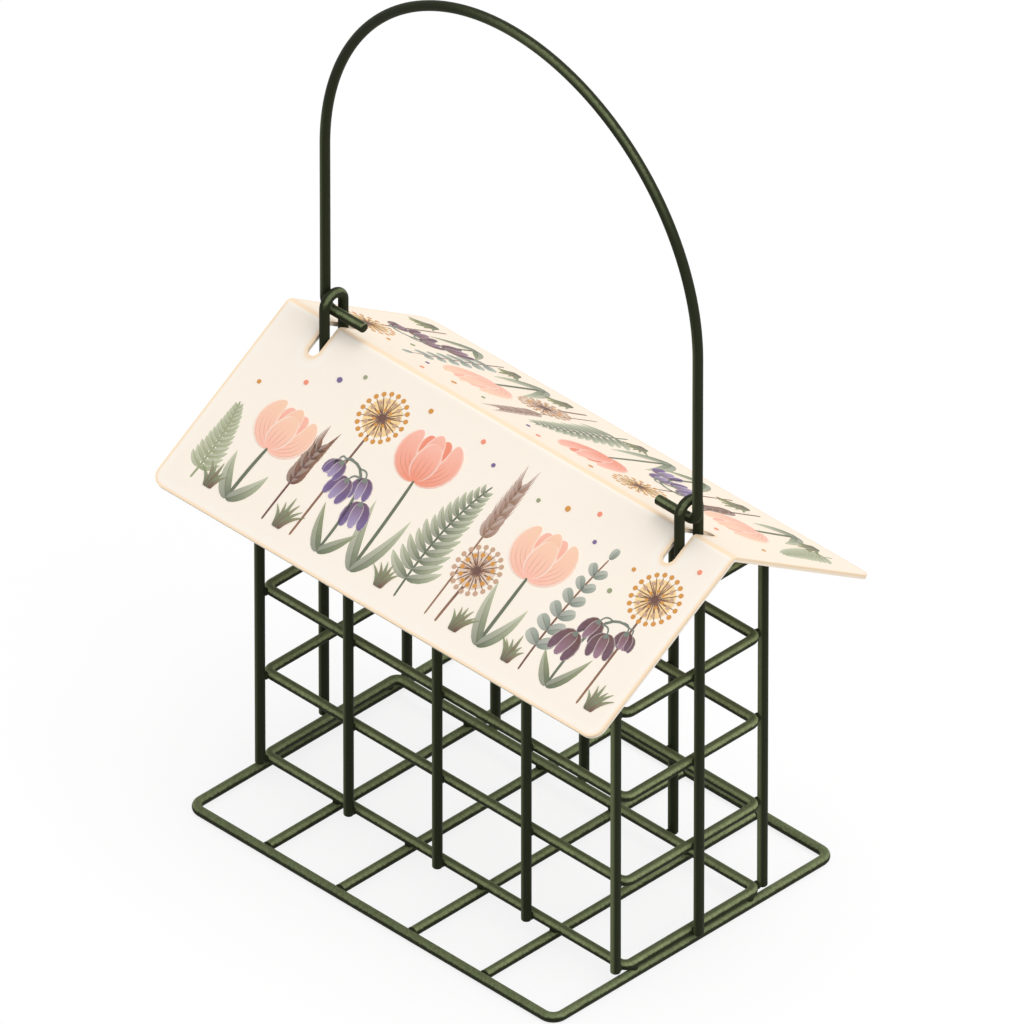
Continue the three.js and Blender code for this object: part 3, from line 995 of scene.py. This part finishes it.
    def bells(self, height, lean, inks):
        """A stem that arches over, with bells hanging from it."""
        stem_width, twig_width, leaf_width, leaf_bow, leaf_spread = 0.8, 0.45, 3, 4, 7
        bell, bell_taper, knot = 7.6, 0.8, 0.8
        twig_out, twig_down, bow_out, bow_up = 4.4, 1.6, 3.6, 1
        root = Vector((lean * -0.6, 0))
        curve = (root, (lean * -0.9, height * 1.15), (lean * 1.5, height))
        self.stem(curve, stem_width, ("sage_deep", "slate"))
        outward = 1 if lean > 0 else -1
        base = self.layer
        for reach, side in ((0.36, -outward), (0.5, outward)):
            self.layer += 1
            bow = root + Vector((side * leaf_bow, height * 0.14))
            tip = root + Vector((side * leaf_spread, height * reach))
            self.blade((root, bow, tip), leaf_width, LONG_LEAF, ("sage_deep", "sage"), LEAF)
        for number, sway in enumerate(BELL_SWAYS):
            self.layer = base + number % 2 * 3
            point = self.on_curve(curve, 0.42 + 0.58 * number / (len(BELL_SWAYS) - 1))[0]
            size = (bell - bell_taper * number) * self.vary(0.04)
            sway *= outward
            bow = point + Vector((sway * bow_out, bow_up))
            top = point + Vector((sway * twig_out, -twig_down))
            self.stem((point, bow, top), twig_width, ("slate", "slate"))
            hang = Vector((sway * 0.3, -1)).normalized()
            across = Vector((-hang.y, hang.x))
            for spread, last in ((-0.36, 1), (0.36, 1), (0, 2)):
                if spread >= 0:
                    self.layer += 1
                bow = top + hang * size * 0.25 + across * spread * size * 1.3
                tip = top + hang * size + across * spread * size
                self.blade((top, bow, tip), size * 0.46, BELL_PETAL, (inks[0], inks[last]), PETAL, steps=8)
            self.layer += 1
            self.dot(top + hang * knot / 2, knot, "slate")

    def grain(self, height, lean, inks):
        """An ear of grass: pairs of grains with fine bristles."""
        stem_width, bristle_width, kernel_width, pairs = 0.6, 0.28, 2.1, 8
        least_ear, kernel, kernel_taper = 5.6, 5.2, 1.7
        curve = ((0, 0), (0, height * 0.7), (lean, height))
        self.stem(curve, stem_width, inks[:1] * 2)
        ear = 0.36 + least_ear / height
        for through, _, point, way in self.pairs_along(curve, pairs, start=1 - ear, reach=ear):
            size = kernel - kernel_taper * through
            for side in (-1, 1):
                tip = point + self.turned(way, side * 24) * size
                bristle_tip = point.lerp(tip, 0.6) + self.turned(way, side * 13) * size * 1.5
                self.blade((point, tip, bristle_tip), bristle_width, BRISTLE, inks, steps=4)
                self.layer += 1
                bow = point + self.turned(way, side * 48) * size * 0.5
                self.blade((point, bow, tip), kernel_width, KERNEL, inks, LEAF, steps=7)
                self.layer -= 1

    def coin_leaf(self, point, leaf, width, inks):
        self.blade((point, point + leaf / 2, point + leaf), width, ROUND_LEAF, inks, LEAF, steps=9)

    def coin_leaves(self, height, lean, inks):
        """A twig with pairs of round leaves and a small one at its tip."""
        stem_width, pairs, leaf, leaf_taper, end_length, end_width = 0.65, 6, 6.2, 2.6, 3.6, 2.4
        curve = ((0, 0), (lean * -0.5, height * 0.5), (lean, height))
        self.stem(curve, stem_width, ("brown", "brown_mid"))
        for _, share, point, way in self.pairs_along(curve, pairs, start=0.22, reach=0.74):
            size = (leaf - leaf_taper * share) * self.vary(0.05)
            for side in (-1, 1):
                self.coin_leaf(point, self.turned(way, side * (64 - 22 * share)) * size, size * 0.66, inks)
        point, way = self.on_curve(curve, 1)
        self.coin_leaf(point, way.normalized() * end_length, end_width, inks)

    def tuft(self, height, lean, inks):
        """Short blades of grass in a fan."""
        foot, bow, blade_width = 0.8, 1.2, 1.25
        for number, share in enumerate(TUFT_SHARES):
            reach = height * (1 - 0.35 * abs(share)) * self.vary(0.15)
            tip = (share * height * 0.55 + lean, reach)
            curve = ((share * foot, 0), (share * bow + lean * 0.2, reach * 0.6), tip)
            self.layer += 1
            self.blade(curve, blade_width, GRASS_BLADE, (inks[number % 2], inks[2]), steps=8)


CORAL = ("coral_deep", "coral", "blush")
PEACH = ("coral", "blush", "peach")
GREEN = ("sage_deep", "sage_pale")
PALE_GREEN = ("sage", "sage_pale")
BROWN = ("brown", "brown_mid")
ROSE_BROWN = ("brown_mid", "rose_brown")
SLATE = ("slate", "slate_pale")
GRASS = ("sage_deep", "brown", "sage")
GOLD = ("ochre_pale", "ochre", "tan")
DUN = ("tan_pale", "tan", "ochre")
VIOLET = ("plum", "violet", "lilac")
PLUM = ("brown", "plum", "plum_pale")

# What grows where: the plant, its place in millimetres from the middle of the slope, its height and lean in
# millimetres, how far in front of the others it stands, and its inks
MEADOW = (
    ("fern", -71, 24, -2, 0, PALE_GREEN),
    ("tuft", -65, 8, -1, 3, GRASS),
    ("tulip", -58, 17, 1, 2, PEACH),
    ("grain", -45, 24, 1, 1, BROWN),
    ("tuft", -40, 9, 1, 3, GRASS),
    ("globe", -35, 39, 1, 0, GOLD),
    ("bells", -28, 25, -5, 2, VIOLET),
    ("tulip", -13, 29, -1, 1, CORAL),
    ("fern", 3, 38, 4, 0, GREEN),
    ("tuft", -3, 8, -1, 3, GRASS),
    ("grain", 14, 42, 0, 0, ROSE_BROWN),
    ("globe", 18, 17, 1, 1, DUN),
    ("tuft", 24, 8, 1, 3, GRASS),
    ("tulip", 33, 22, 0, 2, PEACH),
    ("coin_leaves", 48, 37, 2, 0, SLATE),
    ("tuft", 43, 8, -1, 3, GRASS),
    ("bells", 61, 24, 5, 1, PLUM),
    ("globe", 69, 34, 0, 0, GOLD),
    ("tuft", 73, 8, 1, 3, GRASS),
)

# Seeds adrift between the plants: place, distance up from the ground, and radius, in millimetres
SEEDS = (
    (-72, 31, 0.6), (-60, 37, 0.7), (-52, 42, 0.8), (-46, 46, 0.6), (-23, 47, 0.7),
    (-4, 47, 0.7), (3, 43, 0.6), (21, 41, 0.6), (30, 43, 0.8), (39, 46, 0.7),
    (43, 39, 0.6), (56, 30, 0.7), (58, 38, 0.6), (75, 46, 0.7),
)
SEED_INKS = ("ochre", "coral", "violet", "sage")

# How far in front the seeds adrift lie, and the most layers of ink that lie on each other
FRONT_DEPTH = 3
TOP_LAYER = 37


class FEEDER_OT_roof_print(bpy.types.Operator):
    """Prints a row of meadow plants along both slopes of the roof"""

    bl_idname = "feeder.roof_print"
    bl_label = "Roof print"

    def execute(self, context):
        settings = context.scene.feeder_print
        meadow = self.draw_meadow(settings)
        for name, side in (("front_print", -1), ("rear_print", 1)):
            mesh = bmesh.new()
            mesh.from_mesh(meadow)
            self.face_out(mesh)
            place = self.slope_place(side, context.scene.feeder_roof)
            bmesh.ops.transform(mesh, matrix=place, verts=mesh.verts)
            piece = add_piece(name, mesh, material_named("print_ink", print_ink), "roof")
            body = piece.modifiers.new("ink_body", "SOLIDIFY")
            body.thickness = TOP_LAYER * settings.layer + settings.sink
            body.offset = -1
        bpy.data.meshes.remove(meadow)
        return {"FINISHED"}

    def slope_place(self, side, settings):
        """Lays a flat drawing in millimetres on one slope: its x to the right, its y up from the eave."""
        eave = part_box("roof")[1].y
        cosine = math.cos(settings.pitch)
        sine = math.sin(settings.pitch)
        right = Vector((-side, 0, 0))
        up = Vector((0, -side * cosine, sine))
        out = Vector((0, side * sine, cosine))
        foot = Vector((0, side * eave, roof_apex(settings) - eave * math.tan(settings.pitch)))
        turned = Matrix((right, up, out)).transposed().to_4x4()
        return Matrix.Translation(foot) @ turned @ Matrix.Scale(MM, 4)

    def draw_meadow(self, settings):
        """Draws each plant in a small mesh of its own, which is quick, and gathers them in one flat mesh."""
        gathered = bmesh.new()
        for number, (plant, place, height, lean, depth, inks) in enumerate(MEADOW):
            drawing = PlantPrint(settings, number, depth)
            getattr(drawing, plant)(height, lean, inks)
            self.gather(drawing.mesh, place, settings, gathered)
        drawing = PlantPrint(settings, 0, FRONT_DEPTH)
        for number, (place, height, radius) in enumerate(SEEDS):
            drawing.dot((place, height), radius, SEED_INKS[number % len(SEED_INKS)])
        self.gather(drawing.mesh, 0, settings, gathered)
        meadow = bpy.data.meshes.new("meadow")
        gathered.to_mesh(meadow)
        gathered.free()
        return meadow

    def gather(self, mesh, place, settings, gathered):
        """Moves a drawing along the ground line to its place, and adds it to the others."""
        bmesh.ops.translate(mesh, verts=mesh.verts, vec=(place, settings.ground / MM, 0))
        sheet = bpy.data.meshes.new("plant")
        mesh.to_mesh(sheet)
        mesh.free()
        gathered.from_mesh(sheet)
        bpy.data.meshes.remove(sheet)

    def face_out(self, mesh):
        """Turns every flat shape's face up, away from the sheet."""
        mesh.normal_update()
        wrong = [face for face in mesh.faces if face.normal.z < 0]
        bmesh.ops.reverse_faces(mesh, faces=wrong)


FLOOR_REACH = 6
FLOOR_DROP = 0.05 * MM
KEY_PLACE = (0.2, 0.3, 2.9)
KEY_SIZE = 2.2
SIDE_PLACE = (1.7, -0.1, 1.2)
SIDE_SIZE = 1.8
LIT_PLACE = Vector((0, 0, 0.1))


class FEEDER_OT_stage(bpy.types.Operator):
    """Sets up the floor, the soft lights, the white surroundings and the camera"""

    bl_idname = "feeder.stage"
    bl_label = "Stage"

    def execute(self, context):
        settings = context.scene.feeder_stage
        self.add_floor(settings)
        self.set_surroundings(context, settings)
        self.add_light("key_light", KEY_PLACE, KEY_SIZE, settings.key)
        self.add_light("side_light", SIDE_PLACE, SIDE_SIZE, settings.side)
        self.add_camera(context, settings)
        context.scene.view_settings.view_transform = "Standard"
        return {"FINISHED"}

    def add_floor(self, settings):
        mesh = bmesh.new()
        bmesh.ops.create_grid(mesh, x_segments=1, y_segments=1, size=FLOOR_REACH)
        floor = new_object("floor", mesh, self.floor_material(settings))
        floor.location.z = -FLOOR_DROP

    def floor_material(self, settings):
        """White to the camera, with the feeder's shadow kept, grey to the light, and clear from below."""
        shader = Shader(bpy.data.materials.new("floor"))
        grey = shader.node("ShaderNodeBsdfDiffuse", inputs={"Color": GREY})
        shaded = shader.node("ShaderNodeBsdfDiffuse", inputs={"Color": WHITE})
        white = shader.node("ShaderNodeEmission", inputs={"Color": WHITE, "Strength": 1.0})
        clear = shader.node("ShaderNodeBsdfTransparent")
        from_above = shader.choose(shader.seen(), grey, shader.choose(1 - settings.shadow, shaded, white))
        below = shader.node("ShaderNodeNewGeometry", output="Backfacing")
        surface = shader.choose(below, from_above, clear)
        shader.node("ShaderNodeOutputMaterial", inputs={"Surface": surface})
        return shader.owner

    def set_surroundings(self, context, settings):
        """An even sky for the light, which the camera, gloss and clear glass see as white."""
        shader = Shader(bpy.data.worlds.new("surroundings"))
        even = shader.node("ShaderNodeBackground", inputs={"Color": WHITE, "Strength": settings.sky})
        white = shader.node("ShaderNodeBackground", inputs={"Color": WHITE, "Strength": 1.0})
        surface = shader.choose(shader.seen(), even, white)
        shader.node("ShaderNodeOutputWorld", inputs={"Surface": surface})
        context.scene.world = shader.owner

    def add_light(self, name, place, size, power):
        data = bpy.data.lights.new(name, "AREA")
        data.energy = power
        data.size = size
        light = bpy.data.objects.new(name, data)
        light.location = place
        light.rotation_euler = (Vector(place) - LIT_PLACE).to_track_quat("Z", "Y").to_euler()
        bpy.context.scene.collection.objects.link(light)

    def add_camera(self, context, settings):
        low, high = packed_bounds
        turn = settings.azimuth
        tilt = settings.elevation
        back = Vector((math.sin(turn) * math.cos(tilt), -math.cos(turn) * math.cos(tilt), math.sin(tilt)))
        right = Vector((math.cos(turn), math.sin(turn), 0))
        up = back.cross(right)
        aim = (low + high) / 2 + right * settings.aim_right - up * settings.aim_down
        data = bpy.data.cameras.new("camera")
        data.lens = settings.lens
        data.clip_start = settings.distance / 2
        data.clip_end = settings.distance * 2
        camera = bpy.data.objects.new("camera", data)
        camera.location = aim + back * settings.distance
        camera.rotation_euler = back.to_track_quat("Z", "Y").to_euler()
        context.scene.collection.objects.link(camera)
        context.scene.camera = camera


class FEEDER_PT_sidebar(bpy.types.Panel):
    """Lists the feeder's pieces and their settings"""

    bl_idname = "FEEDER_PT_sidebar"
    bl_label = "Suet feeder"
    bl_space_type = "VIEW_3D"
    bl_region_type = "UI"
    bl_category = "Feeder"

    def draw(self, context):
        layout = self.layout
        for operator in OPERATORS:
            layout.operator(operator.bl_idname)
        for name in SETTINGS:
            group = getattr(context.scene, name)
            box = layout.box()
            for setting in group.__annotations__:
                box.prop(group, setting)


OPERATORS = (
    FEEDER_OT_stage,
    FEEDER_OT_tray,
    FEEDER_OT_cage,
    FEEDER_OT_welds,
    FEEDER_OT_hanger_loops,
    FEEDER_OT_roof,
    FEEDER_OT_roof_print,
    FEEDER_OT_bail,
)

SETTINGS = {
    "feeder_wire": WireSettings,
    "feeder_weld": WeldSettings,
    "feeder_roof": RoofSettings,
    "feeder_print": PrintSettings,
    "feeder_stage": StageSettings,
}

CLASSES = (*SETTINGS.values(), *OPERATORS, FEEDER_PT_sidebar)


def register():
    for made in CLASSES:
        bpy.utils.register_class(made)
    for name, group in SETTINGS.items():
        setattr(bpy.types.Scene, name, PointerProperty(type=group))


def unregister():
    for name in SETTINGS:
        delattr(bpy.types.Scene, name)
    for made in reversed(CLASSES):
        bpy.utils.unregister_class(made)


def main():
    register()
    for operator in OPERATORS:
        group, name = operator.bl_idname.split(".")
        getattr(getattr(bpy.ops, group), name)()


if __name__ == "__main__":
    main()
